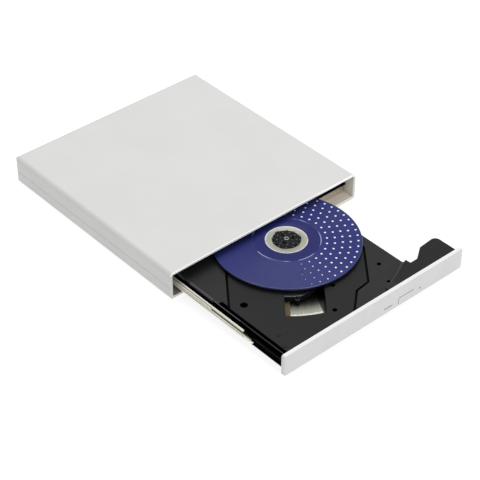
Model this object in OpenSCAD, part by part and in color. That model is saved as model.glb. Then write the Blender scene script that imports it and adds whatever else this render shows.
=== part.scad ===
// Slim disc drive in an outer case, with its tray partly out and a small disc on the hub.
// Units are millimetres. X is right, Y is back, Z is up, and the table is at Z = 0.

/* [Case] */
// Thickness of the side walls
side_t = 1.5; // [1.2:0.1:2]
// Thickness of the back wall
back_t = 1.8; // [1.4:0.1:2.4]
// How far the case stands in front of the shut bezel
lip = 0.8; // [0:0.1:1.5]
// Thickness of the top wall
top_t = 1.1; // [0.9:0.1:1.6]
// Thickness of the bottom wall
floor_t = 1.5; // [1.2:0.1:2]
// Radius of the upper edges
edge_r = 2.8; // [1.8:0.1:3.4]
// Radius of the lower edges
low_edge_r = 1.5; // [1:0.1:2]
// Radius of the upright back corners
corner_r = 3; // [2:0.1:4]
// Height of the parting line, as a share of the case height
split_share = 0.43; // [0.4:0.01:0.46]
// Height of the rubber feet
foot_h = 0.8; // [0.5:0.1:1.5]
// Radius of the rubber feet
foot_r = 4; // [3:0.25:5]

/* [Drive body] */
// Largest disc radius that the bay takes
bay_r = 60; // [60:0.5:62]
// Room between the largest disc and the pan's side walls
bay_gap = 3.2; // [3:0.1:4.5]
// Height of the drive body
drive_h = 12.7; // [12.7:0.1:13.5]
// Thickness of the sheet metal
sheet_t = 0.6; // [0.5:0.05:0.7]
// Space between pan and case walls at each side
side_gap = 0.7; // [0.6:0.1:1.2]
// Space under the pan
pan_lift = 0.5; // [0.4:0.1:1]
// Space over the lid
lid_gap = 0.6; // [0.6:0.1:1.2]
// Room behind the drive for the link strip
back_room = 4.4; // [4.2:0.1:6]

/* [Tray] */
// How far the tray is out
tray_out = 82; // [60:1:100]
// Share of the tray's travel that the rails make
rail_share = 0.75; // [0.74:0.005:0.78]
// Drop from the disc seat to the tray deck
deck_drop = 1.4; // [1.3:0.05:1.6]
// Thickness of the deck
deck_t = 1.5; // [1.2:0.1:1.6]
// Width of the dark crack around the cover plate
crack_w = 1.2; // [0.8:0.05:1.4]
// Thickness of the cover plate
cover_t = 0.6; // [0.5:0.05:0.7]
// Width of the ledge under the cover plate
ledge_w = 2.5; // [2.2:0.1:2.8]
// Angle of the pickup's path, from the X axis
path_angle = 230; // [229:0.25:231]

/* [Bezel] */
// Thickness of the bezel plate
bezel_t = 2; // [1.8:0.1:2.2]
// Gap between bezel and case opening at the sides
bezel_gap = 0.5; // [0.4:0.05:0.8]
// Width of the eject button
button_w = 10.6; // [9:0.2:12]
// Height of the eject button
button_h = 3.4; // [3:0.1:3.6]
// How far the button can be pressed
button_press = 0.6; // [0.4:0.05:0.7]
// Length of the lamp slot
lamp_w = 6; // [4:0.25:7]

/* [Disc and spindle] */
// Radius of the disc
disc_r = 40; // [38:0.5:42]
// Thickness of the disc
disc_t = 1.2; // [1.1:0.05:1.3]
// Radius of the disc's centre hole
disc_hole_r = 7.5; // [7.5:0.05:7.6]
// Height of the disc seat over the drive's underside
seat_h = 8.4; // [8.3:0.05:8.6]
// Radius of the turntable
table_r = 14; // [13:0.25:14.5]
// Radius of the spindle shaft
spindle_r = 1.5; // [1.2:0.05:1.6]
// How far each claw can move inwards
claw_travel = 0.6; // [0.4:0.05:0.7]

/* [Pickup] */
// Distance of the lens from the disc centre
lens_at = 29; // [26:0.5:32]
// Smallest lens distance
lens_min = 24; // [24:0.25:25]
// Room between the outermost lens place and the edge of the largest disc
lens_edge = 3; // [3:0.25:5]
// Radius of the guide shafts
shaft_r = 1.2; // [1:0.05:1.2]
// Radius of the lens
lens_r = 2.2; // [1.8:0.1:2.4]

/* [Fits] */
// Radial clearance of turning and sliding round parts
run_gap = 0.05; // [0.03:0.01:0.08]
// Clearance of flat sliding faces
slide_gap = 0.2; // [0.15:0.01:0.25]

/* [Hidden] */
$fn = 64;

// heights, from the table up
z_case = foot_h;
z_floor = z_case + floor_t;
z_pan = z_floor + pan_lift;
z_pan_top = z_pan + sheet_t;
z_lid = z_pan + drive_h;
z_lid_low = z_lid - sheet_t;
z_ceiling = z_lid + lid_gap;
z_top = z_ceiling + top_t;
z_split = z_case + split_share * (z_top - z_case);
z_seat = z_pan + seat_h;
z_disc = z_seat + disc_t;
z_deck = z_seat - deck_drop;
z_deck_low = z_deck - deck_t;
z_raised = z_deck - 0.9;
z_raised_low = z_raised - sheet_t;
z_ear = z_seat + 1.6;
z_ear_low = z_deck + 0.1;
z_tray = z_pan_top + 0.6;
base_t = 0.4;
z_base = z_tray + base_t;
z_frame = z_base + 0.3;
z_frame_top = z_frame + sheet_t;
z_sled = z_frame_top + 0.4;
z_sled_top = z_deck - cover_t - 0.35;
z_shaft = (z_sled + z_sled_top) / 2;
z_cover = z_deck - cover_t;

// widths, from the middle out
pan_in = bay_r + bay_gap;
drive_w = 2 * (pan_in + sheet_t);
cav_x = drive_w / 2 + side_gap;
case_x = cav_x + side_t;
bezel_x = cav_x - bezel_gap;
disc_x = 2;
tray_l = -pan_in + 3.7;
tray_side = tray_l + 0.5;
rib_l = tray_l + 2.5;
rib_t = 0.5;
tray_r = disc_x + 35;
low_r = tray_r - 3.4;
step_in = tray_r + 0.8;
step_out = step_in + sheet_t;

// depths with the tray shut: the disc centre is at Y = 0
y_front = -(bay_r + 8);
y_mouth = y_front - lip;
y_pan_in = bay_r + 1.2;
y_pan_back = y_pan_in + sheet_t;
y_cav = y_pan_back + back_room;
y_back = y_cav + back_t;
y_pan_front = y_front + 9;
y_raised_front = y_front + 4.2;
y_bezel_in = y_front + bezel_t;
y_tray_front = y_front + 3.4;
y_tray_back = bay_r - 2;
y_tray_mid = y_tray_back - 30;
y_wall_in = y_tray_front + 2.2;
lever_x = tray_l + 21.5;
lever_y = y_tray_mid - 6;

// the origin lies under the middle of the whole outline with the tray out
button_proud = 0.2;
rest_shift = (tray_out - y_front - y_back + button_proud) / 2;

// cover plate outline, clockwise, tray shut; its slanted edge runs beside the pickup's path
cover_l = tray_l + 5;
cover_f = y_tray_front + 2.4;
cover_b = y_tray_mid - 4;
slant_a = 52;
slant_d = 32.3;
function slant_x(y) = disc_x + (y * cos(slant_a) - slant_d) / sin(slant_a);
function slant_y(x) = ((x - disc_x) * sin(slant_a) + slant_d) / cos(slant_a);
cover_pts = [
  [cover_l, slant_y(cover_l)], [slant_x(cover_b), cover_b], [disc_x + 28, cover_b], [disc_x + 28, -28.6],
  [disc_x + 10.1, y_tray_front + 14.7], [disc_x + 0.9, y_tray_front + 13.7], [disc_x - 12.1, cover_f],
  [cover_l, cover_f]
];

function right_of(d) = [d[1], -d[0]] / norm(d);
function inset(p, t) = [
  for (i = [0 : len(p) - 1])
    let (
      n = len(p),
      a = right_of(p[i] - p[(i + n - 1) % n]),
      b = right_of(p[(i + 1) % n] - p[i])
    )
    p[i] + t * (a + b) / (1 + a * b)
];

// placing
module at_case() translate([0, rest_shift, 0]) children();
module at_tray() translate([0, rest_shift - tray_out, 0]) children();
module at_rail() translate([0, rest_shift - tray_out * rail_share, 0]) children();
module at_disc() at_tray() translate([disc_x, 0, 0]) children();
module at_path() at_disc() rotate([0, 0, path_angle]) children();
module at_lens() at_path() translate([lens_at, 0, 0]) children();

// building blocks
module slab(a, b) translate(a) cube(b - a);
module plate(pts, z0, z1) translate([0, 0, z0]) linear_extrude(height = z1 - z0) polygon(pts);
module rod(x, y, r, z0, z1) translate([x, y, z0]) cylinder(r = r, h = z1 - z0);
module cone(x, y, ra, rb, z0, z1) translate([x, y, z0]) cylinder(r1 = ra, r2 = rb, h = z1 - z0);
module rod_x(y, z, r, x0, x1) translate([x0, y, z]) rotate([0, 90, 0]) cylinder(r = r, h = x1 - x0);
module rod_y(x, z, r, y0, y1) translate([x, y1, z]) rotate([90, 0, 0]) cylinder(r = r, h = y1 - y0);
module round_box(x0, x1, z0, z1, r, y0, y1) {
  slab([x0 + r, y0, z0], [x1 - r, y1, z1]);
  slab([x0, y0, z0 + r], [x1, y1, z1 - r]);
  for (x = [x0 + r, x1 - r], z = [z0 + r, z1 - r]) rod_y(x, z, r, y0, y1);
}
module corner_2d(x, y, r, sx, sy) translate([x - sx * r, y - sy * r]) circle(r = r);

// outline of the case from the front, the side and above
module front_2d() {
  translate([-case_x + edge_r, z_case]) square([2 * (case_x - edge_r), z_top - z_case]);
  translate([-case_x, z_case + low_edge_r]) square([2 * case_x, z_top - edge_r - z_case - low_edge_r]);
  for (s = [-1, 1]) {
    corner_2d(s * case_x, z_top, edge_r, s, 1);
    corner_2d(s * case_x, z_case, low_edge_r, s, -1);
    translate([s * (case_x - edge_r / 2 - low_edge_r / 2) - (edge_r - low_edge_r) / 2, z_case])
      square([edge_r - low_edge_r, edge_r]);
  }
}
module side_2d() {
  translate([y_mouth, z_case]) square([y_back - y_mouth - edge_r, z_top - z_case]);
  translate([y_mouth, z_case + low_edge_r])
    square([y_back - y_mouth, z_top - edge_r - z_case - low_edge_r]);
  translate([y_back - edge_r - 0.01, z_case]) square([edge_r - low_edge_r + 0.01, edge_r]);
  corner_2d(y_back, z_top, edge_r, 1, 1);
  corner_2d(y_back, z_case, low_edge_r, 1, -1);
}
module above_2d(t = 0) {
  w = case_x - t;
  d = y_back - y_mouth - t;
  translate([-w, y_mouth]) square([2 * w, d - corner_r]);
  translate([-w + corner_r, y_mouth]) square([2 * (w - corner_r), d]);
  for (s = [-1, 1]) corner_2d(s * w, y_mouth + d, corner_r, s, 1);
}
module case_form() intersection() {
  translate([0, y_back, 0]) rotate([90, 0, 0]) linear_extrude(height = y_back - y_mouth) front_2d();
  translate([-case_x, 0, 0]) rotate([90, 0, 90]) linear_extrude(height = 2 * case_x) side_2d();
  translate([0, 0, z_case]) linear_extrude(height = z_top - z_case) above_2d();
}
module cavity() slab([-cav_x, y_mouth - 1, z_floor], [cav_x, y_cav, z_ceiling]);

// back openings
port_gap = 0.8;
usb_w = 7.6;
usb_h = 3.8;
jack_w = 6;
jack_h = 3.9;
usb_x = step_out + port_gap + usb_w / 2;
jack_x = usb_x + usb_w / 2 + port_gap + jack_w / 2;
z_bridge = z_floor + 0.6;
z_bridge_top = z_bridge + 1;
module port_holes() {
  slab([usb_x - usb_w / 2 - 0.3, y_cav - 1, z_bridge_top - 0.3],
    [usb_x + usb_w / 2 + 0.3, y_back + 1, z_bridge_top + usb_h + 0.3]);
  rod_y(jack_x, z_bridge_top + jack_h / 2, 2.1, y_cav - 1, y_back + 1);
}

// case
boss_r = 2;
boss_x = case_x - side_t - boss_r - 0.2;
boss_y = y_cav - boss_r - 0.1;
tongue_t = 0.5;
groove = 0.25;
module seam(grow, h) {
  for (s = [-1, 1])
    translate([s * (cav_x + side_t / 2) - tongue_t / 2 - grow, y_mouth + 2, z_split])
      cube([tongue_t + 2 * grow, y_back - y_mouth - 8, h]);
}
module top_cover() color("#e4e4e1") at_case() difference() {
  union() {
    difference() {
      case_form();
      cavity();
    }
    for (s = [-1, 1]) rod(s * boss_x, boss_y, boss_r, z_split, z_ceiling);
  }
  slab([-case_x - 1, y_mouth - 1, z_case - 1], [case_x + 1, y_back + 1, z_split]);
  difference() {
    slab([-case_x - 1, y_mouth + groove, z_split - 1], [case_x + 1, y_back + 1, z_split + groove]);
    translate([0, 0, z_split - 2]) linear_extrude(height = 4) above_2d(groove);
  }
  seam(0.1, 0.9);
  port_holes();
  for (s = [-1, 1]) rod(s * boss_x, boss_y, 0.8, z_split - 1, z_split + 5);
}
module bottom_cover() color("#dededb") at_case() difference() {
  union() {
    intersection() {
      difference() {
        case_form();
        cavity();
      }
      slab([-case_x - 1, y_mouth - 1, z_case - 1], [case_x + 1, y_back + 1, z_split]);
    }
    seam(0, 0.7);
    for (x = [-52, -24, 4, 32])
      slab([x - 0.75, y_pan_front + 4, z_floor - 0.1], [x + 0.75, y_pan_in, z_pan]);
    for (x = [step_out + 4, pan_in - 7], y = [bridge_f + 6, y_cav - 14])
      slab([x - 1.2, y - 1.2, z_floor - 0.1], [x + 1.2, y + 1.2, z_bridge]);
    for (x = [link_l, link_r])
      slab([x - 1.2, y_pan_back + 0.6, z_floor - 0.1], [x + 1.2, y_cav - 0.6, z_bridge]);
    for (s = [-1, 1]) rod(s * boss_x, boss_y, boss_r, z_floor - 0.1, z_split);
  }
  for (s = [-1, 1]) {
    rod(s * boss_x, boss_y, 1.1, z_case - 1, z_split + 1);
    rod(s * boss_x, boss_y, 1.9, z_case - 1, z_case + 1);
  }
  for (s = [-1, 1], y = [y_front + 12, y_back - 14])
    rod(s * (case_x - 12), y, foot_r, z_case - 1, z_case + 0.4);
  port_holes();
}
module rubber_feet() color("#3a3a3c") at_case()
  for (s = [-1, 1], y = [y_front + 12, y_back - 14]) rod(s * (case_x - 12), y, foot_r, 0, z_case + 0.4);
module case_screws() color("#9a9c9e") at_case() for (s = [-1, 1]) difference() {
  union() {
    rod(s * boss_x, boss_y, 0.8, z_case + 0.4, z_split + 4);
    rod(s * boss_x, boss_y, 1.8, z_case + 0.2, z_case + 1);
  }
  slab([s * boss_x - 1, boss_y - 0.2, z_case - 1], [s * boss_x + 1, boss_y + 0.2, z_case + 0.6]);
  slab([s * boss_x - 0.2, boss_y - 1, z_case - 1], [s * boss_x + 0.2, boss_y + 1, z_case + 0.6]);
}
pad_w = 16;
pad_d = 8;
pad_x = drive_w / 2 - 13.8;
module foam_pads() color("#4a4a4d") at_case() for (s = [-1, 1], y = [y_pan_front + 19, y_pan_in - 15.2])
  slab([s * pad_x - pad_w / 2, y - pad_d / 2, z_lid], [s * pad_x + pad_w / 2, y + pad_d / 2, z_ceiling]);

// bridge from the drive to the ports
link_l = 6;
link_r = 30;
bridge_f = y_cav - 52;
bridge_l = step_out + 0.6;
bridge_r = pan_in - 3.2;
module bridge_board() color("#2f6b45") at_case() {
  slab([bridge_l, bridge_f, z_bridge], [bridge_r, y_cav - 0.4, z_bridge_top]);
  slab([link_l - 4, y_pan_back + 0.4, z_bridge], [bridge_l + 1, y_cav - 0.4, z_bridge_top]);
}
module bridge_parts() color("#25272a") at_case() translate([bridge_l, bridge_f, z_bridge_top]) {
  slab([4, 12, 0], [13, 21, 1.2]);
  slab([3, 4, 0], [7.5, 7, 1.4]);
  for (y = [24, 27]) slab([3, y, 0], [5, y + 1.2, 0.8]);
  rod(12, 28, 1.8, 0, 2.6);
}
module usb_port() color("#b9bcc0") at_case() difference() {
  slab([usb_x - usb_w / 2, y_cav - 8.6, z_bridge_top],
    [usb_x + usb_w / 2, y_cav + 1, z_bridge_top + usb_h]);
  difference() {
    slab([usb_x - usb_w / 2 + 0.4, y_cav - 6, z_bridge_top + 0.4],
      [usb_x + usb_w / 2 - 0.4, y_cav + 2, z_bridge_top + usb_h - 0.4]);
    slab([usb_x - 2.2, y_cav - 7, z_bridge_top + 1.5], [usb_x + 2.2, y_cav + 0.2, z_bridge_top + 2.3]);
  }
}
module power_jack() color("#26282b") at_case() difference() {
  union() {
    slab([jack_x - jack_w / 2, y_cav - 8.6, z_bridge_top],
      [jack_x + jack_w / 2, y_cav - 0.2, z_bridge_top + jack_h]);
    rod_y(jack_x, z_bridge_top + jack_h / 2, 1.8, y_cav - 0.3, y_cav + 1);
  }
  difference() {
    rod_y(jack_x, z_bridge_top + jack_h / 2, 1.3, y_cav - 6.5, y_cav + 2);
    rod_y(jack_x, z_bridge_top + jack_h / 2, 0.4, y_cav - 7, y_cav + 0.4);
  }
}
z_board = z_pan_top + 0.5;
z_board_top = z_board + 1;
z_link = z_board_top + 1.2;
module link_socket() color("#e8e3d2") at_case() difference() {
  slab([link_l, y_pan_back + 0.3, z_bridge_top], [link_r, y_cav - 0.6, z_link + 1.4]);
  slab([link_l + 1.2, y_pan_back - 1, z_link - 0.7], [link_r - 1.2, y_pan_back + 2.4, z_link + 0.7]);
}

// drive body
screw_x = pan_in - 1.8;
screw_rows = [y_pan_front + 13, y_pan_in - 15.2];
module pan() color("#c9c7c0") at_case() difference() {
  union() {
    slab([-drive_w / 2, y_pan_front, z_pan], [step_out, y_pan_back, z_pan_top]);
    slab([-drive_w / 2, y_pan_front, z_pan], [-pan_in, y_pan_back, z_lid_low]);
    slab([-drive_w / 2, y_pan_in, z_pan], [step_out, y_pan_back, z_lid_low]);
    slab([step_in, y_pan_front, z_pan], [step_out, y_pan_back, z_raised]);
    slab([step_in, y_raised_front, z_raised_low], [drive_w / 2, y_pan_back, z_raised]);
    slab([step_in, y_pan_in, z_raised_low], [drive_w / 2, y_pan_back, z_lid_low]);
    slab([pan_in, y_raised_front, z_raised_low], [drive_w / 2, y_pan_back, z_lid_low]);
    slab([step_in, y_front + 6, z_pan], [drive_w / 2, y_front + 6 + sheet_t, z_raised]);
    slab([step_out, y_front + 5.5, z_pan + 2.2], [drive_w / 2, y_front + 6, z_pan + 2.8]);
    slab([step_in, y_front + 6, z_pan], [step_out, y_pan_front, z_raised]);
    for (s = [-1, 1], y = screw_rows)
      translate([s * (screw_x + 0.1), y, z_lid_low - sheet_t]) slab([-1.9, -3, 0], [1.9, 3, sheet_t]);
  }
  slab([link_l + 0.8, y_pan_in - 1, z_link - 0.9], [link_r - 0.8, y_pan_back + 1, z_link + 0.9]);
  for (s = [-1, 1], y = screw_rows) rod(s * screw_x, y, 0.7, z_lid_low - 2, z_lid_low + 1);
}
module lid() color("#c4c3be") at_case() difference() {
  slab([-drive_w / 2, y_pan_front + 1, z_lid_low], [drive_w / 2, y_pan_back, z_lid]);
  for (s = [-1, 1], y = screw_rows) rod(s * screw_x, y, 0.9, z_lid_low - 1, z_lid + 1);
}
module lid_screws() color("#a8aaab") at_case()
  for (s = [-1, 1], y = screw_rows) translate([s * screw_x, y, z_lid]) difference() {
    union() {
      rod(0, 0, 0.7, -sheet_t - 1.2, 0.1);
      rod(0, 0, 1.6, 0, 0.45);
    }
    slab([-0.9, -0.15, 0.2], [0.9, 0.15, 1]);
    slab([-0.15, -0.9, 0.2], [0.15, 0.9, 1]);
  }
main_f = y_pan_in - 23.2;
module main_board() color("#2c6440") at_case() {
  slab([tray_l, main_f, z_board], [low_r - 2, y_pan_in - 0.5, z_board_top]);
  for (x = [tray_l + 4, low_r - 6], y = [main_f + 4, y_pan_in - 4])
    slab([x - 1.2, y - 1.2, z_pan_top], [x + 1.2, y + 1.2, z_board]);
}
module main_parts() color("#232528") at_case() translate([tray_l, main_f, z_board_top]) {
  slab([19.5, 4, 0], [33.5, 18, 1.3]);
  slab([39.5, 6, 0], [48.5, 12, 1.1]);
  slab([5.5, 6, 0], [13.5, 11, 1.1]);
  slab([39.5, 15, 0], [44.5, 19, 0.9]);
  for (x = [51 : 3 : 60]) slab([x, 6, 0], [x + 1.6, 7.2, 0.8]);
  slab([63.5, 1, 0], [83.5, 4, 1.8]);
}
module link_plug() color("#e3dcc8") at_case() {
  slab([link_l + 0.4, y_pan_in - 6, z_board_top], [link_r - 0.4, y_pan_in - 0.3, z_link + 1.1]);
  slab([link_l + 1.5, y_pan_in - 0.4, z_link - 0.5], [link_r - 1.5, y_pan_back + 2, z_link + 0.5]);
}
post_x = lever_x - 2.5;
post_y = lever_y + 9.5;
module latch_post() color("#b4b6b8") at_case() {
  rod(post_x, post_y, 1.2, z_pan_top, z_tray + 3.4);
  rod(post_x, post_y, 2.2, z_pan_top, z_pan_top + 0.5);
}

// rails and their guides
z_ledge = z_base + 0.5;
z_rail = z_ledge + slide_gap;
z_tongue = z_rail + 1.6;
z_trench = z_tongue + 1;
left_rail_h = 4;
right_rail_h = z_deck_low - 0.3 - z_rail;
rail_t = 0.6;
rail_front = y_front + 4.7;
rail_len = bay_r + 59;
rail_step = 30;
rail_reach = 1.3;
rail_upper = 1;
rail_wide = 1.8;
rail_corner = 1.2;
module guide(side, wall, web, h) {
  face = web + side * (rail_t + slide_gap);
  slab([min(wall, face), y_pan_front + 1, z_rail + rail_t + slide_gap],
    [max(wall, face), y_pan_in - 3, z_rail + h - rail_t - slide_gap]);
}
left_web = tray_side - 0.3;
right_web = low_r + 0.3;
module left_guide() color("#5a5c60") at_case() guide(-1, -pan_in, left_web, left_rail_h);
module right_guide() color("#5a5c60") at_case() guide(1, step_in, right_web, right_rail_h);
module rail(side, web, h) {
  module strip(reach, y0, y1, z0, z1)
    slab([min(web, web + side * reach), y0, z0], [max(web, web + side * reach), y1, z1]);
  back = rail_front + rail_len;
  neck = rail_front + 7;
  top = z_rail + h;
  strip(rail_t, neck, back, z_rail, top);
  strip(rail_t, rail_front + 2, neck + 0.1, z_rail, z_rail + 1.8);
  strip(rail_reach, rail_front + rail_corner, back, z_rail, z_rail + rail_t);
  intersection() {
    strip(rail_reach, rail_front, rail_front + rail_corner + 0.1, z_rail, z_rail + rail_t);
    rod(web + side * (rail_reach - rail_corner), rail_front + rail_corner, rail_corner,
      z_rail, z_rail + rail_t);
  }
  strip(rail_upper, neck, back, top - rail_t, top);
  strip(rail_wide, rail_front + rail_step, back, top - rail_t, top);
  strip(0.1, neck, back, z_tongue - 0.25, z_tongue + 0.25);
  strip(-0.95, neck, back, z_tongue - 0.25, z_tongue + 0.25);
}
module left_rail() color("#d8d4c4") at_rail() rail(-1, left_web, left_rail_h);
module right_rail() color("#d8d4c4") at_rail() rail(1, right_web, right_rail_h);

// tray
raised_pts = [
  [disc_x + 11, y_tray_front], [disc_x + 11, cover_f], [disc_x + 16, y_tray_front + 5.4],
  [tray_r - 2.3, y_tray_front + 13.2], [tray_r - 2.3, y_tray_front + 10.8],
  [tray_r - 0.2, y_tray_front + 11.7], [tray_r, y_tray_front + 8.3], [tray_r, y_tray_front]
];
ear_r = pan_in - 0.7;
ear_b = y_tray_front + 14.6;
ear_round = 3.2;
ear_pts = [
  [tray_r - 1, y_tray_front], [tray_r - 1, y_tray_front + 8.3], [tray_r + 4.9, y_tray_front + 8.3],
  [ear_r - 12.7, ear_b - 0.8], [ear_r - ear_round, ear_b], [ear_r, ear_b - ear_round], [ear_r, y_tray_front]
];
base_holes = [
  [tray_l + 3, y_tray_front + 4.6], [tray_l + 1.6, y_tray_mid - 1.6], [low_r - 2, y_tray_mid - 2],
  [low_r - 2, y_tray_front + 9.6]
];
damper_y = -10.9;
damper_at = [
  [cover_l + 6.5, cover_f + 6.2], [slant_x(damper_y) + 7.3, damper_y],
  [disc_x + 20.5, cover_b - 8], [disc_x + 20.5, -26]
];
cover_holes = [[disc_x + 26.7, -10], [disc_x + 26.7, 12], [disc_x + 2, cover_b - 1.3]];
latch_l = tray_l + 2.5;
latch_b = y_tray_mid - 2;
latch_pts = [[latch_l, slant_y(latch_l) + 6], [latch_l, latch_b], [slant_x(latch_b) - 2.4, latch_b]];
ridge_f = -10;
ridge_l = rib_l - 0.7;
button_x = 22;
button_z = z_pan + 3;
lamp_x = 9.2;
pin_x = 32.5;
board_l = 3;
board_r = low_r - 1;
module tray_body() difference() {
  union() {
    slab([tray_l, y_tray_front, z_base], [low_r, y_tray_mid, z_deck]);
    slab([tray_l, y_tray_front, z_deck_low], [tray_r, y_tray_back, z_deck]);
    slab([tray_l - 0.4, y_tray_front, z_base], [tray_side, y_tray_mid, z_ledge]);
    slab([ridge_l, ridge_f, z_deck - 0.1], [rib_l + rib_t, y_tray_back - 1, z_deck + 0.8]);
    difference() {
      plate(raised_pts, z_deck - 0.1, z_ear);
      cone(disc_x, 0, bay_r + 0.8, bay_r + 2.4, z_deck, z_ear + 0.01);
    }
    plate(ear_pts, z_ear_low, z_ear);
    rod(ear_r - ear_round, ear_b - ear_round, ear_round, z_ear_low, z_ear);
  }
  plate(inset(cover_pts, ledge_w), z_base - 1, z_deck + 1);
  plate(inset(cover_pts, -crack_w), z_cover, z_deck + 0.5);
  difference() {
    plate(inset(cover_pts, -crack_w), z_deck_low + 0.4, z_deck);
    plate(inset(cover_pts, 0.4), z_deck_low, z_deck + 1);
  }
  slab([rib_l + rib_t, cover_f - crack_w, z_deck_low - 0.8], [cover_l + 0.5, ridge_f - 3, z_deck + 1]);
  slab([tray_l - 1, y_tray_front - 1, z_ledge], [tray_side, y_tray_back + 1, z_deck + 1]);
  slab([tray_l - 1, y_tray_front - 1, z_trench], [rib_l, ridge_f, z_deck + 1]);
  slab([tray_l - 1, y_tray_front - 1, z_trench], [ridge_l, y_tray_back + 1, z_deck + 1]);
  plate(latch_pts, z_base - 1, z_deck_low);
  slab([lever_x - 18.4, lever_y - 9.8, z_base - 1], [lever_x - 7.6, lever_y - 2.2, z_deck_low]);
  slab([lever_x - 8, lever_y - 8.6, z_base - 1], [lever_x + 2.4, latch_b, z_deck_low]);
  slab([lever_x - 5, latch_b - 1, z_base - 1], [lever_x + 3.5, y_tray_mid + 1, z_deck_low]);
  slab([tray_l - 1, y_tray_front - 1, z_tongue - 0.45], [tray_side + 0.8, y_tray_mid + 1, z_tongue + 0.45]);
  slab([low_r - 0.8, y_tray_front - 1, z_tongue - 0.45], [low_r + 0.1, y_tray_mid + 1, z_tongue + 0.45]);
  slab([board_l, y_wall_in, z_base - 1], [board_r, y_wall_in + 4, z_deck_low + 0.2]);
  slab([lamp_x - 4, y_tray_front - 1, z_base - 1], [button_x + 8, y_wall_in + 1, z_deck_low + 0.2]);
  rod_y(pin_x, button_z, 0.6, y_tray_front - 1, y_wall_in + 1);
  rod(disc_x + 24.7, y_tray_front + 20.7, 1.2, z_deck - 3, z_deck + 1);
  rod(disc_x + 18.5, y_tray_front + 7.6, 1, z_deck - 2, z_deck + 1);
  for (p = cover_holes) rod(p[0], p[1], 0.7, z_cover - 3, z_deck);
  for (p = base_holes) rod(p[0], p[1], 0.6, z_base - 1, z_base + 2.5);
  slab([tray_l - 1, y_tray_back - 8, z_deck_low - 1], [tray_l + 6, y_tray_back + 1, z_deck + 3]);
}
module tray() color("#343534") at_tray() {
  tray_body();
  rod(lever_x, lever_y, 1, z_base, z_deck_low + 0.1);
}

// window over the pickup's path, in the path's own frame
window_l = -3.2;
window_r = 17.6;
window_in = 2.3;
module cover_plate() color("#383938") difference() {
  at_tray() difference() {
    union() {
      plate(cover_pts, z_cover, z_deck);
      cone(cover_l + 4.8, cover_f + 12, 1.3, 0.8, z_deck - 0.05, z_deck + 0.3);
      cone(cover_l + 1.4, cover_f + 3.8, 1, 0.6, z_deck - 0.05, z_deck + 0.25);
    }
    rod(disc_x, 0, table_r + 1.2, z_cover - 1, z_deck + 1);
    rod(cover_l + 7, slant_y(cover_l) - 2.4, 2, z_cover - 1, z_deck + 1);
    rod(disc_x - 17.7, cover_f + 7.4, 1.3, z_cover - 1, z_deck + 1);
    rod(disc_x - 5.2, cover_f + 21.9, 1.3, z_cover - 1, z_deck + 1);
    for (p = cover_holes) rod(p[0], p[1], 0.8, z_cover - 1, z_deck + 1);
  }
  at_path() intersection() {
    slab([0, window_l, z_cover - 1], [bay_r + 5, window_r, z_deck + 1]);
    rod(0, 0, bay_r - window_in, z_cover - 1, z_deck + 1);
  }
}
module cover_screws() color("#55575a") at_tray() for (p = cover_holes) difference() {
  union() {
    rod(p[0], p[1], 0.7, z_cover - 2.4, z_deck + 0.1);
    rod(p[0], p[1], 1.4, z_deck, z_deck + 0.4);
  }
  slab([p[0] - 0.8, p[1] - 0.15, z_deck + 0.2], [p[0] + 0.8, p[1] + 0.15, z_deck + 1]);
  slab([p[0] - 0.15, p[1] - 0.8, z_deck + 0.2], [p[0] + 0.15, p[1] + 0.8, z_deck + 1]);
}
module base_plate() color("#bdbbb4") at_tray() {
  difference() {
    slab([tray_l + 0.4, y_tray_front + 0.4, z_tray], [low_r - 0.4, y_tray_mid - 0.4, z_base]);
    for (p = base_holes) rod(p[0], p[1], 0.8, z_tray - 1, z_base + 1);
    slab([lever_x - 5, latch_b - 1, z_tray - 1], [lever_x + 3.5, y_tray_mid + 1, z_base + 1]);
  }
  for (p = damper_at) difference() {
    rod(p[0], p[1], 1.1, z_base - 0.1, z_base + 1.9);
    rod(p[0], p[1], 0.6, z_base + 0.5, z_base + 3);
  }
}
module base_screws() color("#8f9193") at_tray() for (p = base_holes) difference() {
  union() {
    rod(p[0], p[1], 0.6, z_tray - 0.1, z_base + 2);
    rod(p[0], p[1], 1.4, z_tray - 0.3, z_tray);
  }
  slab([p[0] - 0.8, p[1] - 0.15, z_tray - 1], [p[0] + 0.8, p[1] + 0.15, z_tray - 0.15]);
}

// front
z_bezel = z_floor + 0.2;
z_bezel_top = z_bezel + drive_h;
bezel_l = 1.7 - bezel_x;
round_l = 1.5;
round_r = 0.5;
module bezel_2d() {
  translate([bezel_l + round_l, y_front]) square([bezel_x - bezel_l - round_l - round_r, bezel_t]);
  translate([bezel_l, y_front + round_l]) square([bezel_x - bezel_l, bezel_t - round_l]);
  translate([bezel_x - 2 * round_r, y_front + round_r]) square([2 * round_r, bezel_t - round_r]);
  corner_2d(bezel_l, y_front, round_l, -1, -1);
  corner_2d(bezel_x, y_front, round_r, 1, -1);
}
module bezel_plate() intersection() {
  round_box(bezel_l, bezel_x, z_bezel, z_bezel_top, 1.2, y_front, y_bezel_in);
  translate([0, 0, z_bezel]) linear_extrude(height = z_bezel_top - z_bezel) difference() {
    bezel_2d();
    translate([bezel_l - 1, y_bezel_in]) square([bezel_x - bezel_l + 2, bezel_t]);
  }
}
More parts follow.
